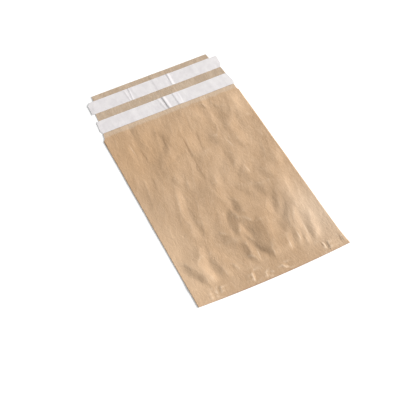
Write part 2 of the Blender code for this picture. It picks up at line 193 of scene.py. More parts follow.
# Facets of the crumpled front: tilt at the middle, where a positive tilt faces right, then across,
# along and half width, in millimetres, down the middle line of the facet.
frontCreases = [
    (0.07, (40, 362, 4.3), (43, 345, 2.9), (39, 316, 2.1)),
    (0.09, (179, 361, 5.0), (176, 340, 2.5), (177, 325, 3.6),
     (175, 303, 3.0), (168, 286, 4.8), (165, 273, 4.1)),
    (-0.04, (135, 357, 1.6), (128, 341, 1.5)),
    (-0.09, (50, 356, 3.5), (49, 336, 6.0), (47, 320, 4.6), (48, 305, 2.9)),
    (-0.15, (167, 351, 3.0), (170, 344, 3.1), (174, 336, 1.1)),
    (-0.07, (211, 351, 2.6), (212, 335, 2.6)),
    (-0.09, (185, 346, 2.2), (191, 326, 3.9), (190, 308, 8.6),
     (186, 290, 5.5), (185, 272, 4.7), (185, 250, 4.1)),
    (0.06, (154, 345, 3.5), (162, 323, 3.7), (158, 306, 5.2)),
    (-0.07, (100, 339, 6.9), (98, 322, 7.2), (91, 302, 3.3),
     (78, 284, 8.6), (67, 270, 10.4), (64, 244, 6.9)),
    (0.07, (226, 339, 6.8), (227, 328, 4.9), (228, 304, 5.0), (234, 286, 1.7)),
    (-0.07, (77, 336, 3.5), (76, 318, 3.5)),
    (-0.08, (198, 331, 3.5), (204, 314, 2.8)),
    (0.07, (33, 328, 1.3), (30, 313, 2.6), (32, 295, 3.1)),
    (-0.12, (86, 327, 4.5), (86, 308, 2.6), (81, 291, 1.0)),
    (0.06, (120, 322, 1.2), (117, 294, 2.3)),
    (-0.07, (64, 319, 1.9), (64, 308, 2.2), (63, 286, 2.8)),
    (-0.05, (132, 318, 1.3), (134, 305, 1.6)),
    (-0.08, (53, 317, 1.3), (53, 305, 4.3), (55, 294, 2.4)),
    (-0.08, (43, 314, 1.6), (46, 297, 2.6), (43, 275, 3.1)),
    (-0.04, (122, 313, 2.0), (122, 307, 1.3)),
    (0.07, (100, 305, 6.9), (98, 286, 12.1), (83, 268, 9.6), (68, 255, 2.7)),
    (-0.04, (138, 305, 1.3), (137, 284, 1.7), (130, 265, 1.3)),
    (-0.06, (212, 303, 3.7), (210, 282, 3.0), (212, 268, 1.2)),
    (-0.13, (173, 302, 2.6), (167, 288, 2.6), (162, 277, 1.1)),
    (0.13, (126, 299, 6.9), (122, 276, 8.6), (123, 255, 6.9)),
    (-0.07, (114, 297, 1.6), (116, 293, 1.1), (112, 278, 1.9), (111, 261, 2.0), (109, 249, 1.8)),
    (0.07, (146, 297, 2.8), (140, 280, 5.5), (139, 257, 3.5)),
    (0.07, (202, 297, 2.4), (201, 288, 8.6), (195, 270, 4.4), (199, 256, 8.6), (197, 243, 1.9)),
    (0.03, (42, 296, 2.8), (40, 283, 2.0)),
    (0.08, (108, 294, 4.3), (103, 261, 3.7)),
    (0.03, (30, 290, 1.9), (30, 261, 5.2), (26, 225, 3.5)),
    (0.07, (222, 289, 1.5), (222, 280, 3.4), (219, 264, 5.2)),
    (-0.06, (60, 286, 7.2), (50, 262, 10.4), (56, 237, 4.0)),
    (-0.07, (152, 283, 3.0), (154, 277, 9.0), (159, 255, 4.1)),
    (-0.04, (99, 280, 2.3), (96, 272, 2.1), (98, 269, 1.1)),
    (-0.06, (176, 269, 1.3), (178, 257, 3.4)),
    (0.12, (148, 260, 13.0), (136, 235, 16.0), (124, 212, 13.8)),
    (-0.06, (36, 259, 2.8), (38, 240, 1.3), (36, 226, 1.6)),
    (-0.06, (226, 258, 3.5), (223, 243, 3.5)),
    (-0.05, (49, 256, 1.1), (49, 224, 2.8)),
    (0.03, (204, 250, 3.5), (202, 241, 5.2), (206, 235, 1.6)),
    (0.08, (107, 249, 2.0), (104, 235, 3.1), (99, 217, 5.2), (98, 206, 3.5)),
    (-0.07, (188, 247, 3.5), (193, 227, 2.0)),
    (-0.11, (228, 244, 7.2), (222, 214, 14.4), (211, 185, 13.8)),
    (0.04, (181, 241, 1.5), (174, 222, 3.6), (161, 202, 2.6)),
    (-0.07, (160, 240, 2.5), (164, 230, 6.2), (162, 213, 4.9), (162, 178, 7.6)),
    (-0.04, (106, 237, 1.8), (109, 208, 1.1)),
    (-0.08, (239, 237, 2.8), (235, 214, 2.4)),
    (0.06, (72, 235, 3.5), (78, 214, 1.9)),
    (-0.08, (65, 232, 1.7), (64, 224, 4.8), (65, 215, 3.1)),
    (-0.07, (79, 216, 2.6), (77, 208, 3.1), (75, 197, 2.3)),
    (0.03, (238, 211, 4.1), (228, 190, 2.0), (222, 168, 4.3)),
    (-0.05, (133, 211, 1.1), (134, 202, 1.3)),
    (0.09, (130, 210, 3.0), (125, 190, 6.3), (118, 172, 10.1), (118, 158, 4.1), (121, 144, 1.6)),
    (0.05, (172, 210, 2.0), (175, 196, 2.3), (174, 181, 2.2)),
    (-0.07, (173, 208, 1.9), (163, 189, 3.8)),
    (-0.05, (119, 204, 1.3), (115, 192, 5.5), (116, 177, 3.5)),
    (-0.08, (197, 204, 5.2), (186, 182, 7.6)),
    (0.12, (62, 203, 2.9), (61, 190, 4.5), (54, 165, 5.4), (53, 150, 5.8),
     (54, 135, 3.4), (52, 120, 6.5), (52, 107, 5.0)),
    (0.09, (108, 191, 1.7), (109, 188, 2.6), (110, 177, 2.1)),
    (-0.12, (193, 184, 5.2), (193, 174, 5.9), (198, 163, 4.1), (202, 160, 1.6)),
    (-0.08, (144, 176, 2.0), (147, 168, 6.9), (156, 151, 4.7), (160, 133, 5.2)),
    (0.05, (75, 165, 3.5), (73, 142, 11.5), (73, 127, 3.3), (64, 109, 2.9)),
    (-0.11, (172, 165, 1.3), (172, 158, 6.2), (176, 134, 5.9)),
    (-0.03, (64, 157, 2.5), (61, 140, 2.9), (61, 111, 2.5)),
    (0.24, (223, 157, 16.0), (222, 120, 16.0), (222, 76, 14.4)),
    (-0.20, (126, 152, 4.3), (128, 143, 4.8), (126, 128, 6.0), (128, 116, 3.1)),
    (-0.14, (189, 142, 5.2), (185, 124, 4.3), (180, 112, 5.0), (175, 97, 4.3)),
    (-0.12, (95, 134, 5.2), (90, 118, 10.4), (90, 97, 10.2)),
    (-0.28, (113, 133, 3.8), (111, 122, 7.2), (108, 106, 7.8), (106, 88, 3.1)),
    (0.09, (172, 125, 1.4), (168, 110, 5.2), (171, 96, 1.3)),
    (-0.04, (198, 122, 1.1), (191, 111, 2.0), (180, 92, 5.2)),
    (-0.27, (120, 117, 5.2), (127, 98, 8.6), (125, 81, 2.6)),
    (-0.14, (196, 113, 1.0), (190, 98, 5.3), (180, 82, 5.0), (178, 67, 3.1)),
    (0.07, (159, 109, 3.6), (156, 90, 2.8), (150, 64, 2.6)),
    (-0.14, (77, 107, 3.0), (83, 94, 9.0), (87, 82, 8.6), (94, 68, 5.2)),
    (-0.29, (142, 105, 3.4), (141, 94, 6.0), (134, 74, 11.4),
     (132, 56, 11.5), (131, 42, 5.8), (133, 30, 3.5)),
    (0.22, (202, 95, 2.8), (198, 76, 5.5), (195, 52, 3.5), (192, 27, 3.1)),
    (0.16, (47, 92, 3.5), (44, 78, 5.2), (39, 68, 8.6), (38, 58, 5.8),
     (39, 50, 5.8), (42, 40, 4.7), (44, 28, 3.4)),
    (0.12, (61, 85, 3.0), (64, 75, 8.6), (67, 55, 8.6), (66, 30, 3.9)),
    (-0.07, (202, 84, 1.7), (200, 66, 2.2), (202, 34, 2.1)),
    (-0.24, (2, 83, 6.9), (14, 60, 8.6), (22, 48, 6.0), (28, 30, 3.0)),
    (-0.13, (169, 83, 3.7), (171, 60, 2.9)),
    (-0.17, (114, 82, 2.1), (118, 66, 3.8), (124, 44, 1.9)),
    (0.20, (224, 81, 5.2), (221, 62, 9.0), (215, 44, 5.9), (208, 27, 4.1)),
    (-0.03, (138, 80, 1.2), (130, 67, 1.2)),
    (-0.19, (105, 76, 3.1), (103, 58, 5.2), (102, 47, 3.8), (108, 33, 3.5)),
    (-0.07, (50, 70, 1.9), (50, 62, 2.5), (54, 48, 3.5), (57, 27, 4.3)),
    (0.12, (76, 64, 4.3), (84, 51, 5.3), (98, 33, 5.2)),
    (0.16, (188, 63, 3.5), (185, 47, 3.3), (180, 32, 2.8)),
    (0.08, (113, 62, 1.0), (112, 58, 1.9), (114, 46, 4.7), (114, 31, 1.4)),
    (0.17, (172, 59, 4.1), (169, 47, 4.0), (163, 28, 2.2)),
    (0.15, (75, 52, 3.0), (84, 33, 3.0)),
    (-0.29, (31, 20, 1.7), (32, 10, 1.4)),
    (-0.45, (40, 20, 1.9), (38, 9, 2.1)),
    (0.45, (94, 20, 2.2), (92, 6, 1.8)),
    (-0.35, (204, 20, 1.4), (204, 5, 1.0)),
    (0.41, (208, 20, 1.0), (208, 9, 1.0)),
    (-0.41, (212, 20, 2.2), (211, 5, 2.2)),
    (-0.33, (234, 20, 1.6), (234, 9, 1.0)),
    (0.26, (27, 18, 2.2), (26, 5, 2.2)),
    (0.35, (34, 17, 1.8), (34, 5, 1.2)),
    (0.42, (139, 13, 2.2), (144, 5, 2.2)),
    (0.30, (113, 13, 2.2), (112, 4, 2.6)),
    (-0.45, (116, 11, 2.2), (118, 6, 1.3)),
]
creaseEdge = 0.25  # rounding of a facet's long edges, in half widths
creaseReach = 24.0 * mm  # over this distance the paper comes back to its level
shortReach = 0.9  # the same in lengths of the facet, where that is less
creaseFade = 20.0 * mm

# Broad waves: across and along in waves per bag width, phase in turns, height in metres
frontSwells = [(1.4, 1.2, 0.10, 0.30 * mm), (2.6, -1.8, 0.35, 0.22 * mm), (3.7, 2.4, 0.70, 0.14 * mm)]


def creaseHeight(across, along):
    # For each facet, with d the distance to the right of its middle line and w its half width:
    # -tilt * w * (ramp(d / w) - tanh(d / reach)), faded at both ends, where
    # ramp(u) = (sqrt((u + 1)^2 + edge^2) - sqrt((u - 1)^2 + edge^2)) / 2.
    total = np.zeros(np.broadcast(across, along).shape)
    for tilt, *points in frontCreases:
        middle, height, halfWidth = np.array(points[::-1]).T * mm
        run = np.hypot(middle[-1] - middle[0], height[-1] - height[0])
        away = (across - np.interp(along, height, middle)) * (height[-1] - height[0]) / run
        width = np.interp(along, height, halfWidth)
        u = away / width
        ramp = (np.hypot(u + 1.0, creaseEdge) - np.hypot(u - 1.0, creaseEdge)) / 2
        reach = min(creaseReach, shortReach * run)
        fade = min(creaseFade, 0.6 * run)
        ends = smooth((along - height[0]) / fade + 0.5) * smooth((height[-1] - along) / fade + 0.5)
        total -= tilt * width * (ramp - np.tanh(away / reach)) * ends
    return total


def swellHeight(across, along):
    # Sum of plane sine waves.
    total = np.zeros_like(across)
    for wavesAcross, wavesAlong, phase, height in frontSwells:
        turns = (wavesAcross * across + wavesAlong * along) / bag["width"] + phase
        total += height * np.sin(2 * math.pi * turns)
    return total


def crumpleHeight(across, along):
    # Ridged noise, leaning as the folds do and drawn out along the bag, plus a finer layer.
    lean = across - 0.18 * along
    coarse = ridgedNoise(lean / (13 * mm), along / (46 * mm), 3)
    middle = ridgedNoise(lean / (6.5 * mm) + 7.3, along / (19 * mm), 11)
    fine = softNoise(across / (3.2 * mm), along / (5.5 * mm), 23)
    return 0.11 * mm * coarse + 0.05 * mm * middle + 0.018 * mm * fine


def skewAt(along):
    # The open end is pulled over to the right.
    return bag["skew"] * smooth((along - bag["notch"]) / (61.5 * mm) + 0.25) * (along > bag["notch"])


def edgesAt(along):
    # Left and right edge of the paper, measured across the bag.
    heights, insets = np.array(bag["taper"]).T * mm
    inset = np.interp(along, heights, insets)
    wander = 0.18 * mm * softNoise(along / (21 * mm), along * 0, 5)
    flare = bag["flare"] * np.clip(1.0 - along / (36 * mm), 0.0, None) ** 2
    return inset + skewAt(along) + wander, bag["width"] - inset + skewAt(along) + wander + flare


def backLevel(along):
    # Underside of the back panel: on the hem, then down to the table.
    return bag["hemLayers"] * bag["paper"] * (1.0 - smooth((along - bag["hem"]) / bag["hemRamp"]))


def seamRise(share):
    # 1 where the back is double, with a slope to its left and a shorter one to its right.
    start, end = bag["seam"]
    ramp = bag["seamSoft"] / bag["width"]
    return smooth((share - start) / ramp + 1.0) * smooth((end - share) / (0.5 * ramp) + 1.0)


def flapWave(across, along):
    # The flap lies in very shallow waves and lifts a little towards its end.
    beyond = smooth((along - bag["mouth"]) / (80 * mm))
    wave = 0.12 * mm * (1.0 + softNoise(across / (34 * mm), along / (28 * mm), 31))
    lift = 0.5 * mm * beyond * (0.6 + 0.4 * softNoise(across / (80 * mm), along * 0, 37))
    return (wave + lift) * smooth((along - bag["mouth"] + 20 * mm) / (30 * mm))


def backTop(across, along):
    # Upper face of the back panel and flap.
    left, right = edgesAt(along)
    share = (across - left) / (right - left)
    return backLevel(along) + bag["paper"] * (1.0 + seamRise(share)) + flapWave(across, along)


def above(height):
    # soft * log(1 + exp(height / soft)): the height where it is positive, with no hollow below zero.
    soft = 0.25 * mm
    return soft * np.log1p(np.exp(np.clip(height / soft, -30.0, 30.0)))


def frontUnder(across, along):
    # Lower face of the front: over the doubled back, the closed gap, and the slack of the pocket.
    nearSide = smooth(np.minimum(across, bag["width"] - across) / bag["sideRun"])
    belly = np.sin(math.pi * np.clip(across / bag["width"], 0.0, 1.0))
    inPocket = smooth((along - bag["hem"] + 3 * mm) / (16 * mm))
    nearMouth = smooth((bag["mouth"] - along) / (26 * mm))
    shape = creaseHeight(across, along)
    loose = bag["slack"] * belly + swellHeight(across, along) + crumpleHeight(across, along)
    lip = bag["mouthSlack"] * belly + 0.25 * mm * softNoise(across / (45 * mm), along / (30 * mm), 41)
    body = nearMouth * loose + (1.0 - nearMouth) * lip
    # Folds keep some of their height at the sides and in the hem, where the rest is pressed flat.
    slack = inPocket * (0.15 + 0.85 * nearSide) * body
    keep = (0.35 + 0.65 * nearSide) * smooth(along / (6 * mm))
    raised = slack + shape * keep
    floorLevel = backLevel(along) + 2 * bag["paper"] + flapWave(across, along) * (1.0 - nearMouth)
    most = bag["mostSlack"]
    return floorLevel + bag["gap"] + most * np.tanh(above(raised) / most)


def bagRows():
    # Heights of the rows: hem, pocket and lip, then the flap.
    hem = np.linspace(0.0, bag["hem"], bag["hemRows"])
    pocket = np.linspace(bag["floor"], bag["notch"], bag["pocketRows"])
    lip = np.linspace(bag["notch"] + 1.2 * mm, bag["mouth"], bag["lipRows"])
    flap = np.linspace(bag["mouth"] + 2.0 * mm, bag["length"], bag["flapRows"])
    return hem, pocket, lip, flap


def bottomEdge(across):
    # Height of the curved bottom edge: a parabola with its lowest place right of the middle.
    off = 2.0 * across / bag["width"] - 1.0
    return bag["bow"] * off * off - bag["bowLean"] * off - bag["sag"]


def bagPlaces(along, shares):
    # Across and along of a grid of rows at these heights, with the folds' reach left free at the sides
    # and the bottom edge bowed.
    left, right = edgesAt(along)
    reach = bag["foldReach"] * (along <= bag["notch"])
    left = (left + reach)[:, None]
    right = (right - reach)[:, None]
    across = left + (right - left) * shares[None, :]
    inHem = np.clip(1.0 - along / bag["hem"], 0.0, None)[:, None]
    return across, along[:, None] + bottomEdge(across) * inHem


def sideArcs(top, bottom, reach):
    # Half an ellipse at each row, from the top point round to the bottom point.
    angle = np.linspace(0.0, math.pi, bag["arcSteps"] + 1)
    middle = (top + bottom) / 2
    half = (top - bottom) / 2
    arcs = middle[:, None, :] + half[:, None, :] * np.cos(angle)[None, :, None]
    arcs[:, :, 0] = top[:, None, 0] + reach * np.sin(angle)[None, :]
    arcs[:, 0] = top
    arcs[:, -1] = bottom
    return arcs


def backShares():
    # Even columns, and those at which the seam changes height.
    start, end = bag["seam"]
    ramp = bag["seamRamp"] / bag["width"]
    soft = bag["seamSoft"] / bag["width"]
    before = [start - 0.75 * soft, start - 0.5 * soft]
    after = [end + 0.17 * soft, end + 0.33 * soft, end + 0.5 * soft]
    seam = [start - ramp, start - 0.1 * ramp, start, end] + before + after
    even = np.linspace(0.0, 1.0, bag["backColumns"] + 1)
    kept = [share for share in even if min(abs(share - other) for other in seam) > 0.002]
    return np.array(sorted(kept + seam))


def makeBag():
    hem, pocket, lip, flap = bagRows()
    shares = np.linspace(0.0, 1.0, bag["columns"] + 1)
    backs = backShares()
    closedRows = len(hem) + len(pocket)
    frontAlong = np.concatenate((hem, pocket, lip))
    backAlong = np.concatenate((hem, pocket, lip, flap))
    paper = bag["paper"]

    across, along = bagPlaces(frontAlong, shares)
    under = frontUnder(across, along)
    # In the hem all layers are glued together, and the front comes up over the pocket's floor.
    glued = 3 * paper + above(creaseHeight(across, along) * smooth(along / (6 * mm)))
    closing = smooth((frontAlong - bag["hem"] + 3 * mm) / (8 * mm))[:, None]
    under = under * closing + glued * (1.0 - closing)
    frontTopGrid = place(across, along, under + paper)
    frontUnderGrid = place(across[len(hem):], along[len(hem):], under[len(hem):])

    across, along = bagPlaces(backAlong, backs)
    topLevel = backTop(across, along)
    start = bag["seam"][0]
    ramp = bag["seamRamp"] / bag["width"]
    # The left half climbs over the cut edge of the right half, which leaves a groove underneath.
    groove = np.interp(backs, (start - ramp, start - 0.1 * ramp, start), (0.0, 0.9, 0.0))
    lowLevel = backLevel(along) + flapWave(across, along) + paper * groove[None, :]
    inHem = (backAlong <= bag["hem"])[:, None]
    lowLevel = np.where(inHem, 0.0, lowLevel)
    backLowGrid = place(across, along, lowLevel)
    backTopGrid = place(across[len(hem):], along[len(hem):], topLevel[len(hem):])

    reach = bag["foldReach"]
    grids = [frontTopGrid, frontUnderGrid, backTopGrid, backLowGrid]
    for side, outward in ((0, -reach), (-1, reach)):
        outer = sideArcs(frontTopGrid[:closedRows, side], backLowGrid[:closedRows, side], outward)
        inward = outward * (reach - paper) / reach
        inner = sideArcs(frontUnderGrid[:len(pocket), side], backTopGrid[:len(pocket), side], inward)
        grids += [outer, inner]
        # The fold's cut end at the notch, the inner fold's end at the floor, and the open edges.
        grids.append(np.stack((outer[-1], inner[-1])))
        middle = (inner[0, 0] + inner[0, -1]) / 2
        grids.append(np.stack((inner[0], np.broadcast_to(middle, inner[0].shape))))
        outerOpen, innerOpen = closedRows - 1, len(pocket) - 1
        grids.append(np.stack((frontTopGrid[outerOpen:, side], frontUnderGrid[innerOpen:, side])))
        grids.append(np.stack((backTopGrid[innerOpen:, side], backLowGrid[outerOpen:, side])))
        if side == 0:
            leftEnd = outer[0]
        else:
            rightEnd = outer[0]
    grids.append(np.stack((frontTopGrid[-1], frontUnderGrid[-1])))
    grids.append(np.stack((backTopGrid[-1], backLowGrid[-1])))

    # Rounded bottom edge: a nose row half way down, closed against the side folds.
    nose = frontTopGrid[0].copy()
    nose[:, 1] -= bag["foldReach"]
    nose[:, 2] = nose[:, 2] / 2
    grids.append(np.stack((frontTopGrid[0], nose)))
    noseGrid = len(grids) - 1
    for end, corner in ((leftEnd, nose[0]), (rightEnd, nose[-1])):
        grids.append(np.stack((end, np.broadcast_to(corner, end.shape))))
    floorMiddle = np.stack((frontUnderGrid[0], frontUnderGrid[0]))
    floorMiddle[1, :, 2] = (frontUnderGrid[0, :, 2] + np.interp(
        frontUnderGrid[0, :, 0], backTopGrid[0, :, 0], backTopGrid[0, :, 2])) / 2
    grids.append(floorMiddle)
    return meshPiece("kraftBag", grids, [(noseGrid, 1, 3, 0), (len(grids) - 1, 1, 2, 0)])


kraftBag = makeBag()


# Strips on the flap: a top surface and a thickness under it


def stripPiece(name, top, thickness):
    # Closed slab: the top grid, the same grid lowered by the thickness, and a wall round both.
    bottom = top.copy()
    bottom[:, :, 2] -= thickness
    walls = [np.stack((top[0], bottom[0])), np.stack((top[-1], bottom[-1]))]
    walls += [np.stack((top[:, 0], bottom[:, 0])), np.stack((top[:, -1], bottom[:, -1]))]
    return meshPiece(name, [top, bottom] + walls)


linerStock = {
    "thickness": 0.10 * mm,
    "clear": 0.05 * mm,
    "droop": 0.14 * mm,  # how far the ends hang down where they stand out past the flap
    "droopRun": 9 * mm,
    "columns": 300,
    "rows": 22,
}

lowerLiner = {
    "along": (lowerLinerLow.y - bagBottom, lowerLinerHigh.y - bagBottom),
    "left": ((366.0, 6.0), (372.0, 3.4), (392.0, 5.2), (396.0, 8.4)),
    "right": ((364.0, 238.6), (370.0, 240.2), (377.0, 240.6), (388.0, 238.6), (396.0, 237.2)),
    # Ridges across: place at the lower and upper edge, width to the left and right, height
    "ridges": (
        (122.6, 121.6, 2.4, 5.2, 0.47),
        (117.6, 113.6, 4.0, 2.6, 0.16),
        (140.6, 139.6, 1.8, 6.0, 0.24),
        (62.0, 60.0, 9.0, 12.0, 0.12),
        (206.0, 203.0, 7.0, 9.0, 0.12),
    ),
    "seed": 51,
}
upperLiner = {
    "along": (upperLinerLow.y - bagBottom, upperLinerHigh.y - bagBottom),
    "left": ((410.0, 5.6), (434.0, 6.4), (438.0, 10.5)),
    "right": ((410.0, 236.2), (422.0, 240.2), (440.0, 241.6)),
    "ridges": (
        (148.8, 149.6, 2.2, 4.8, 0.42),
        (73.0, 71.2, 1.8, 2.2, 0.15),
        (77.4, 79.8, 1.6, 2.4, 0.17),
        (88.0, 84.0, 4.0, 9.0, 0.10),
        (195.0, 193.0, 7.0, 9.0, 0.11),
    ),
    "seed": 57,
}


def ridgeAt(across, share, ridges):
    # Bell curves with a steeper left side, each along its own slanting line.
    total = np.zeros_like(across)
    for low, high, leftWidth, rightWidth, height in ridges:
        offset = across / mm - (low + (high - low) * share)
        width = np.where(offset < 0, leftWidth, rightWidth)
        total += height * mm * bell(offset / width)
    return total


def makeLiner(name, liner):
    # Across runs between the two end curves, along between the long edges. The strip follows the flap
    # and its ends droop where they stand out past it.
    share = np.linspace(0.0, 1.0, linerStock["rows"])[:, None]
    along = liner["along"][0] + (liner["along"][1] - liner["along"][0]) * share
    ends = []
    for key in ("left", "right"):
        heights, places = np.array(liner[key]).T * mm
        ends.append(np.interp(along[:, 0], heights, places)[:, None])
    across = ends[0] + (ends[1] - ends[0]) * np.linspace(0.0, 1.0, linerStock["columns"])[None, :]
    wander = 0.15 * mm * softNoise(across / (60 * mm), across * 0, liner["seed"])
    along = np.broadcast_to(along, across.shape) + wander
    left, right = edgesAt(along)
    outside = np.maximum(left - across, across - right)
    over = backTop(np.clip(across, left, right), along)
    rest = over + linerStock["clear"] * 2 + adhesiveStock["thickness"] + linerStock["thickness"]
    ripple = 0.10 * mm * softNoise(across / (16 * mm), along / (22 * mm), liner["seed"] + 1)
    ripple = ripple + 0.03 * mm * ridgedNoise(across / (7 * mm), along / (9 * mm), liner["seed"] + 2)
    uneven = 1.0 + 0.4 * softNoise(along / (12 * mm), along * 0, 61)
    droop = linerStock["droop"] * smooth(outside / linerStock["droopRun"]) * uneven
    level = rest + np.abs(ripple) + ridgeAt(across, share, liner["ridges"]) - droop
    return stripPiece(name, place(across, along, level), linerStock["thickness"])


adhesiveStock = {"thickness": 0.12 * mm, "margin": 2.6 * mm, "endGap": 4.0 * mm, "columns": 160, "rows": 8}


def makeAdhesive(name, liner):
    # Narrower than its liner, with slightly ragged long edges where the glue has spread.
    low, high = liner["along"]
    share = np.linspace(0.0, 1.0, adhesiveStock["rows"])[:, None]
    along = low + adhesiveStock["margin"] + (high - low - 2 * adhesiveStock["margin"]) * share
    left, right = edgesAt(np.array([high]))
    start = left[0] + adhesiveStock["endGap"]
    end = right[0] - adhesiveStock["endGap"]
    across = start + (end - start) * np.linspace(0.0, 1.0, adhesiveStock["columns"])[None, :]
    ragged = 0.5 * mm * softNoise(across / (5 * mm), across * 0, liner["seed"] + 4)
    along = along + ragged * (2 * share - 1)
    across = np.broadcast_to(across, along.shape)
    level = backTop(across, along) + linerStock["clear"] + adhesiveStock["thickness"]
    return stripPiece(name, place(across, along, level), adhesiveStock["thickness"])


lowerLinerPiece = makeLiner("lowerReleaseLiner", lowerLiner)
upperLinerPiece = makeLiner("upperReleaseLiner", upperLiner)
lowerAdhesivePiece = makeAdhesive("lowerAdhesiveBand", lowerLiner)
upperAdhesivePiece = makeAdhesive("upperAdhesiveBand", upperLiner)
print("strips made")


# Materials


class Wire:
    # One output socket. Operators on it add Math nodes to its material.
    def __init__(self, paint, socket):
        self.paint = paint
        self.socket = socket

    def maths(self, operation, *others, clamp=False):
        settings = {"operation": operation, "use_clamp": clamp}
        return self.paint.node("ShaderNodeMath", settings, dict(enumerate((self, *others))))

    def __add__(self, other):
        return self.maths("ADD", other)

    __radd__ = __add__

    def __sub__(self, other):
        return self.maths("SUBTRACT", other)

    def __rsub__(self, other):
        return (self * -1.0) + other

    def __mul__(self, other):
        return self.maths("MULTIPLY", other)

    __rmul__ = __mul__

    def over(self, low, high):
        # 0 below low, 1 above high, smooth between.
        settings = {"interpolation_type": "SMOOTHSTEP"}
        sockets = {"Value": self, "From Min": low, "From Max": high, "To Min": 0.0, "To Max": 1.0}
        return self.paint.node("ShaderNodeMapRange", settings, sockets)


class Paint:
    # One material and its nodes.
    def __init__(self, name):
        self.material = bpy.data.materials.new(name)
        self.material.use_nodes = True
        self.tree = self.material.node_tree
        self.surface = self.tree.nodes["Principled BSDF"]
        self.where = self.node("ShaderNodeTexCoord", output="Object")

    def node(self, kind, settings=None, sockets=None, output=0):
        made = self.tree.nodes.new(kind)
        for name, value in (settings or {}).items():
            setattr(made, name, value)
        for name, value in (sockets or {}).items():
            self.feed(made.inputs[name], value)
        return Wire(self, made.outputs[output])

    def feed(self, socket, value):
        if isinstance(value, Wire):
            self.tree.links.new(value.socket, socket)
        else:
            socket.default_value = value

    def set(self, **values):
        # Sockets of the Principled BSDF, by name with its spaces left out.
        names = {name.replace(" ", ""): name for name in self.surface.inputs.keys()}
        for name, value in values.items():
            self.feed(self.surface.inputs[names[name]], value)

    def stretched(self, x, y, z):
        # Object coordinates, scaled per axis.
        return self.node("ShaderNodeMapping", {}, {"Vector": self.where, "Scale": (x, y, z)})

    def noise(self, vector, scale, detail=3.0, roughness=0.5):
        sockets = {"Vector": vector, "Scale": scale, "Detail": detail, "Roughness": roughness}
        return self.node("ShaderNodeTexNoise", {}, sockets)

    def blend(self, share, first, second):
        # Colours mixed by a share from 0 to 1.
        sockets = {0: share, 6: first, 7: second}
        return self.node("ShaderNodeMix", {"data_type": "RGBA"}, sockets, output=2)

    def patch(self, strength, across, along, halfAcross, halfAlong, turn=0.0):
        # The strength at a place on the bag, in millimetres, falling smoothly to 0 at the rim of an
        # ellipse round it, which may be turned.
        place = {
            "Vector": self.where,
            "Location": (bagLeft + across * mm, bagBottom + along * mm, 0.0),
            "Rotation": (0.0, 0.0, turn),
            "Scale": (halfAcross * mm, halfAlong * mm, 1.0),
        }
        inside = self.node("ShaderNodeMapping", {"vector_type": "TEXTURE"}, place)
        away = self.node("ShaderNodeVectorMath", {"operation": "LENGTH"}, {0: inside}, output="Value")
        sockets = {"Value": away, "From Min": 0.0, "From Max": 1.0, "To Min": strength, "To Max": 0.0}
        return self.node("ShaderNodeMapRange", {"interpolation_type": "SMOOTHSTEP"}, sockets)

    def strokes(self, lines, width, stretch):
        # Long thin patches between the ends of each line, added up.
        total = 0.0
        for strength, startAcross, startAlong, endAcross, endAlong in lines:
            aside, ahead = endAcross - startAcross, endAlong - startAlong
            middle = (startAcross + endAcross) / 2, (startAlong + endAlong) / 2
            reach = stretch * math.hypot(aside, ahead)
            turn = math.atan2(-aside, ahead)
            total = self.patch(strength, *middle, width, reach, turn) + total
        return total

    def part(self, axis):
        # One of the object's coordinates.
        return self.node("ShaderNodeSeparateXYZ", {}, {0: self.where}, output=axis)

    def bump(self, height, distance, strength=1.0):
        sockets = {"Height": height, "Distance": distance, "Strength": strength}
        return self.node("ShaderNodeBump", {}, sockets)

    def attribute(self, name):
        return self.node("ShaderNodeAttribute", {"attribute_name": name}, {}, output="Fac")


def colour(red, green, blue):
    # sRGB bytes to a linear colour with full alpha.
    shares = [value / 255 for value in (red, green, blue)]
    return tuple(((s + 0.055) / 1.055) ** 2.4 if s > 0.04045 else s / 12.92 for s in shares) + (1.0,)


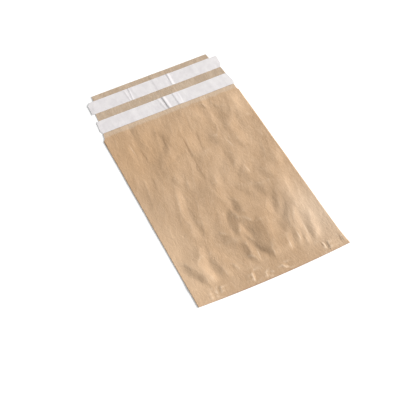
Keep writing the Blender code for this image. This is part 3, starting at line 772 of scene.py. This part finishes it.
kraft = {
    "middle": colour(192, 160, 127),
    "dark": colour(176, 143, 109),
    "light": colour(204, 173, 141),
    # dark fibre flecks, and the painted shade of fine creases
    "fleckAndCreaseShade": colour(146, 108, 74),
    # paler paper on the crests, as wear and as painted highlight
    "wornAndHighlight": colour(232, 208, 180),
    "inside": colour(180, 161, 140),  # inner side of the paper, on the flap
    "band": colour(204, 183, 160),  # paler paper along the mouth
    "warm": colour(194, 156, 116),
    "sandy": colour(226, 194, 160),
    "pale": colour(226, 204, 180),
    # painted shade along the bottom edge
    "rim": colour(150, 118, 96),
    "shade": colour(112, 84, 60),  # deep in the open ends of the side folds
    "roughness": 0.66,
    # Soft fields of painted light and shade over the front, for the broad shading and sheen of its folds:
    # colour, strength, then across, along and half sizes in millimetres
    "paintedLightAndShadeFields": (
        ("warm", 0.50, 40, 300, 150, 110),
        ("dark", 0.40, 140, 95, 85, 120),
        ("sandy", 0.55, 2, 60, 70, 200),
        ("pale", 0.45, 236, 70, 85, 110),
        ("shade", 0.45, 236, 13, 1.5, 9),
        ("sandy", 0.30, 232, 340, 60, 60),
        ("shade", 0.85, -0.5, 339, 2.6, 17),
        ("shade", 0.85, 240, 357, 2.6, 9),
    ),
    # Fine creases, dark and then bright, in colour only, as painted shade and painted highlight: strength,
    # then both ends across and along in millimetres. Twice as many, used in the bump too, turned the whole
    # bag black.
    "creaseShadeLines": (
        (0.55, 113.7, 303.9, 110.5, 253.5), (0.40, 110.8, 256.9, 108.7, 206.0),
        (0.25, 138.0, 300.1, 130.7, 256.9), (0.30, 87.1, 320.1, 81.0, 283.5),
        (0.30, 37.7, 252.3, 36.7, 225.6), (0.35, 44.6, 313.8, 45.2, 279.6),
        (0.55, 170.2, 353.1, 173.0, 339.0), (0.60, 204.8, 22.9, 205.3, 10.4),
        (0.45, 233.1, 28.9, 233.3, 6.4),
    ),
    # The painted highlights beside those creases, in the same columns.
    "creaseHighlightLines": (
        (0.35, 32.1, 327.7, 33.8, 298.1), (0.35, 171.5, 268.1, 177.0, 241.7),
        (0.30, 173.0, 205.0, 176.6, 178.9), (0.55, 183.1, 55.2, 181.8, 33.5),
        (0.50, 200.2, 69.9, 194.3, 32.2), (0.70, 207.2, 19.3, 208.3, 5.8),
        (0.40, 165.7, 48.8, 163.1, 25.7), (0.45, 233.4, 27.2, 231.3, 12.8),
        (0.40, 117.9, 56.6, 114.6, 32.6), (0.60, 34.9, 20.6, 34.4, 8.6),
        (0.50, 89.8, 12.2, 90.3, 2.5),
    ),
    "creaseWidth": 1.7,
    "creaseReach": 0.62,  # half length of a crease's patch, in distances between its ends
}


def kraftPaper():
    paint = Paint("kraftPaper")
    clouds = paint.noise(paint.stretched(1.0, 0.45, 1.0), 60.0, 4.0, 0.55)
    mottle = paint.noise(paint.stretched(1.0, 0.6, 1.0), 420.0, 4.0, 0.6)
    fibres = paint.noise(paint.stretched(2.4, 0.45, 1.0), 1300.0, 3.0, 0.65)
    crossFibres = paint.noise(paint.stretched(0.5, 2.2, 1.0), 1500.0, 3.0, 0.65)
    flecks = paint.noise(paint.stretched(1.0, 0.35, 1.0), 1700.0, 1.0, 0.5).over(0.70, 0.76)
    tone = paint.blend(clouds.over(0.30, 0.70), kraft["dark"], kraft["light"])
    tone = paint.blend(0.55, tone, kraft["middle"])
    grain = (mottle * 0.5 + fibres * 0.3 + crossFibres * 0.2).over(0.36, 0.64)
    tone = paint.blend(grain * 0.35, tone, kraft["light"])
    tone = paint.blend((1.0 - grain) * 0.22, tone, kraft["dark"])
    tone = paint.blend(flecks * 0.35, tone, kraft["fleckAndCreaseShade"])
    # Crests of the folds made paler, as wear and as painted highlight.
    tone = paint.blend(paint.attribute("wearAndHighlight") * 0.5, tone, kraft["wornAndHighlight"])
    # Painted shade along the bottom edge.
    tone = paint.blend(paint.attribute("rim") * 0.75, tone, kraft["rim"])
    outside = tone
    # Broad painted light and shade, with painted shade deep in the open ends of the side folds.
    for name, strength, *spot in kraft["paintedLightAndShadeFields"]:
        tone = paint.blend(paint.patch(strength, *spot), tone, kraft[name])
    creaseShape = kraft["creaseWidth"], kraft["creaseReach"]
    creaseShadeLines = paint.strokes(kraft["creaseShadeLines"], *creaseShape)
    creaseHighlightLines = paint.strokes(kraft["creaseHighlightLines"], *creaseShape)
    # Painted shade and painted highlight along fine creases.
    tone = paint.blend(creaseShadeLines, tone, kraft["fleckAndCreaseShade"])
    tone = paint.blend(creaseHighlightLines, tone, kraft["wornAndHighlight"])
    along = paint.part("Y") - bagBottom
    wander = (clouds - 0.5) * (8.0 * mm)
    band = (along + wander).over(353.0 * mm, 359.0 * mm)
    inside = along.over(bag["mouth"] - 0.5 * mm, bag["mouth"] + 0.5 * mm)
    tone = paint.blend(band * 0.60, tone, kraft["band"])
    tone = paint.blend(inside * 0.85, tone, kraft["inside"])
    tone = paint.blend(inside * (mottle.over(0.42, 0.62) * 0.32), tone, kraft["dark"])
    tone = paint.blend(inside * (clouds.over(0.45, 0.65) * 0.25), tone, kraft["pale"])
    # The back of the bag and the outside of the flap are plain.
    tone = paint.blend(paint.attribute("front"), outside, tone)
    # Fine crinkles: sharp lines where a stretched noise crosses its middle.
    crinkleNoise = paint.noise(paint.stretched(1.0, 0.42, 1.0), 150.0, 2.0, 0.5)
    crinkles = (crinkleNoise - 0.5).maths("ABSOLUTE").over(0.0, 0.07)
    dents = paint.noise(paint.stretched(1.0, 0.5, 1.0), 210.0, 3.0, 0.55)
    # Small pits, where the distance to scattered points is least.
    cells = {"Vector": paint.where, "Scale": 42.0, "Randomness": 1.0}
    scattered = paint.node("ShaderNodeTexVoronoi", {"feature": "F1"}, cells, output="Distance")
    pits = (1.0 - scattered.over(0.0, 0.075)) * clouds.over(0.42, 0.50)
    relief = dents * 1.2 + fibres * 0.35 + crossFibres * 0.30 + crinkles * 0.34 - pits * 1.6
    paint.set(
        BaseColor=tone,
        Roughness=grain * -0.10 + (kraft["roughness"] + 0.05),
        Normal=paint.bump(relief, 0.00022, 0.8),
        SpecularIORLevel=0.30,
        SheenWeight=0.04,
        SheenRoughness=0.5,
    )
    return paint.material


liner = {
    "white": colour(230, 226, 225),
    "shade": colour(214, 209, 211),
    "roughness": 0.42,
}


def releasePaper():
    paint = Paint("releasePaper")
    clouds = paint.noise(paint.stretched(1.0, 1.0, 1.0), 90.0, 3.0, 0.5)
    grain = paint.noise(paint.stretched(1.0, 1.0, 1.0), 1600.0, 3.0, 0.6)
    # Painted shade: the strips darker towards the left, the side away from the light.
    shadedToLeft = 1.0 - paint.part("X").over(-0.12, 0.12)
    tone = paint.blend(clouds.over(0.35, 0.65) * 0.4 + shadedToLeft * 0.3, liner["white"], liner["shade"])
    tone = paint.blend((1.0 - grain) * 0.25, tone, liner["shade"])
    dents = paint.noise(paint.stretched(1.0, 1.0, 1.0), 240.0, 2.0, 0.5)
    paint.set(
        BaseColor=tone,
        Roughness=grain * 0.12 + (liner["roughness"] - 0.06),
        Normal=paint.bump(dents + grain * 0.12, 0.00012, 0.6),
        SpecularIORLevel=0.35,
        CoatWeight=0.06,
        CoatRoughness=0.35,
    )
    return paint.material


glue = {"pale": colour(226, 214, 182), "deep": colour(206, 188, 146), "roughness": 0.22}


def tackyGlue():
    paint = Paint("tackyGlue")
    ripple = paint.noise(paint.stretched(0.3, 1.6, 1.0), 700.0, 3.0, 0.5)
    tone = paint.blend(ripple.over(0.35, 0.65), glue["deep"], glue["pale"])
    paint.set(
        BaseColor=tone,
        Roughness=ripple * 0.15 + glue["roughness"],
        Normal=paint.bump(ripple, 0.0001, 0.7),
        CoatWeight=0.3,
    )
    return paint.material


def addSurfaceMasks(piece):
    # The first mask is how far each point stands over its neighbours on the front: the height less its
    # mean at four points, one step away across and two along, which is large on the crests of the folds;
    # it makes them paler, as wear and as painted highlight.
    # The second is 1 along the bottom edge, where it paints shade. The third is 1 on paper that faces up,
    # 0 where it faces down.
    points = np.empty(len(piece.data.vertices) * 3)
    piece.data.vertices.foreach_get("co", points)
    points = points.reshape(-1, 3)
    across = points[:, 0] - bagLeft
    along = points[:, 1] - bagBottom
    step = 1.6 * mm
    here = creaseHeight(across, along) + crumpleHeight(across, along)
    near = np.zeros_like(here)
    for aside, ahead in ((step, 0.0), (-step, 0.0), (0.0, 2 * step), (0.0, -2 * step)):
        besideAcross, besideAlong = across + aside, along + ahead
        near += creaseHeight(besideAcross, besideAlong) + crumpleHeight(besideAcross, besideAlong)
    crest = (here - near / 4) / (0.10 * mm)
    onFront = along < bag["mouth"]
    wearAndHighlight = np.clip(crest, 0.0, 1.0) ** 1.5 * onFront
    rim = np.clip(1.0 - (along - bottomEdge(across)) / (0.7 * mm), 0.0, 1.0)
    normals = np.empty(len(piece.data.vertices) * 3)
    piece.data.vertices.foreach_get("normal", normals)
    front = np.clip(0.5 + 2.0 * normals.reshape(-1, 3)[:, 2], 0.0, 1.0)
    wearAndHighlight *= front
    for name, values in (("wearAndHighlight", wearAndHighlight), ("rim", rim), ("front", front)):
        attribute = piece.data.attributes.new(name, "FLOAT", "POINT")
        attribute.data.foreach_set("value", values.astype(np.float32))


addSurfaceMasks(kraftBag)
kraftMaterial = kraftPaper()
releaseMaterial = releasePaper()
glueMaterial = tackyGlue()
finishes = (
    (kraftBag, kraftMaterial, "paper_bag", "kraft_paper"),
    (lowerLinerPiece, releaseMaterial, "lower_liner", "release_paper"),
    (upperLinerPiece, releaseMaterial, "upper_liner", "release_paper"),
    (lowerAdhesivePiece, glueMaterial, "lower_adhesive", "adhesive"),
    (upperAdhesivePiece, glueMaterial, "upper_adhesive", "adhesive"),
)
for piece, material, node, slotName in finishes:
    piece.data.materials.append(material)
    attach(piece, "root")
    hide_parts(node)
print("finishes set")


# Camera, floor and light

view = {
    "from": Vector((-0.39343, -0.94577, 1.22218)),
    "at": Vector((-0.03577, -0.05190, 0.0)),
    "roll": math.radians(-4.848),
    "sensor": 36.0,
    "lens": 1035.9 / 400 * 36.0,  # focal length of 1035.9 pixels in a frame of 400, on that sensor
}


def addCamera():
    camera = bpy.data.cameras.new("camera")
    camera.lens = view["lens"]
    camera.sensor_width = view["sensor"]
    camera.sensor_fit = "HORIZONTAL"
    camera.clip_start = 0.01
    holder = bpy.data.objects.new("camera", camera)
    aim = (view["at"] - view["from"]).to_track_quat("-Z", "Y").to_matrix().to_4x4()
    holder.matrix_world = Matrix.Translation(view["from"]) @ aim @ Matrix.Rotation(view["roll"], 4, "Z")
    bpy.context.scene.collection.objects.link(holder)
    bpy.context.scene.camera = holder


studio = {
    "floorTone": (0.86, 0.86, 0.86, 1.0),
    "floorGlow": 0.22,
    "floorHalf": 6.0,
    "world": 0.32,
    "key": {"from": (2.88, -0.80, 0.94), "spread": 29.0, "power": 8.3},
}


def addLamp(name, lamp):
    # A lamp far away, as wide as its spread in degrees.
    light = bpy.data.lights.new(name, "SUN")
    light.angle = math.radians(lamp["spread"])
    light.energy = lamp["power"]
    holder = bpy.data.objects.new(name, light)
    holder.location = lamp["from"]
    holder.rotation_euler = (-Vector(lamp["from"])).to_track_quat("-Z", "Y").to_euler()
    bpy.context.scene.collection.objects.link(holder)


def addFloor():
    half = studio["floorHalf"]
    edge = np.linspace(-half, half, 9)
    grid = np.stack(np.broadcast_arrays(edge[None, :], edge[:, None], -0.02 * mm), -1)
    mesh = bpy.data.meshes.new("floor")
    mesh.from_pydata(grid.reshape(-1, 3).tolist(), [], gridQuads(0, 9, 9).tolist())
    floor = bpy.data.objects.new("floor", mesh)
    bpy.context.scene.collection.objects.link(floor)
    paint = Paint("paleFloor")
    paint.set(BaseColor=studio["floorTone"], Roughness=0.9, SpecularIORLevel=0.1)
    # Seen straight on or in a gloss the floor glows a little, so that it reads as white.
    path = paint.tree.nodes.new("ShaderNodeLightPath")
    kinds = ("Is Camera Ray", "Is Glossy Ray", "Is Transmission Ray")
    rays = [Wire(paint, path.outputs[kind]) for kind in kinds]
    seen = rays[0].maths("MAXIMUM", rays[1]).maths("MAXIMUM", rays[2])
    sockets = {"Color": (1.0, 1.0, 1.0, 1.0), "Strength": seen * studio["floorGlow"]}
    glow = paint.node("ShaderNodeEmission", {}, sockets)
    both = paint.tree.nodes.new("ShaderNodeAddShader")
    paint.tree.links.new(paint.surface.outputs[0], both.inputs[0])
    paint.tree.links.new(glow.socket, both.inputs[1])
    paint.tree.links.new(both.outputs[0], paint.tree.nodes["Material Output"].inputs["Surface"])
    mesh.materials.append(paint.material)


def addWorld():
    world = bpy.data.worlds.new("world")
    bpy.context.scene.world = world
    world.use_nodes = True
    tree = world.node_tree
    background = tree.nodes["Background"]
    background.inputs["Color"].default_value = (1.0, 1.0, 1.0, 1.0)
    path = tree.nodes.new("ShaderNodeLightPath")
    seen = tree.nodes.new("ShaderNodeMath")
    seen.operation = "MAXIMUM"
    tree.links.new(path.outputs["Is Camera Ray"], seen.inputs[0])
    tree.links.new(path.outputs["Is Transmission Ray"], seen.inputs[1])
    strength = tree.nodes.new("ShaderNodeMapRange")
    strength.inputs["To Min"].default_value = studio["world"]
    strength.inputs["To Max"].default_value = 1.0
    tree.links.new(seen.outputs[0], strength.inputs["Value"])
    tree.links.new(strength.outputs[0], background.inputs["Strength"])


addCamera()
addFloor()
addWorld()
addLamp("key", studio["key"])
bpy.context.scene.view_settings.view_transform = "Standard"
print("stage set")
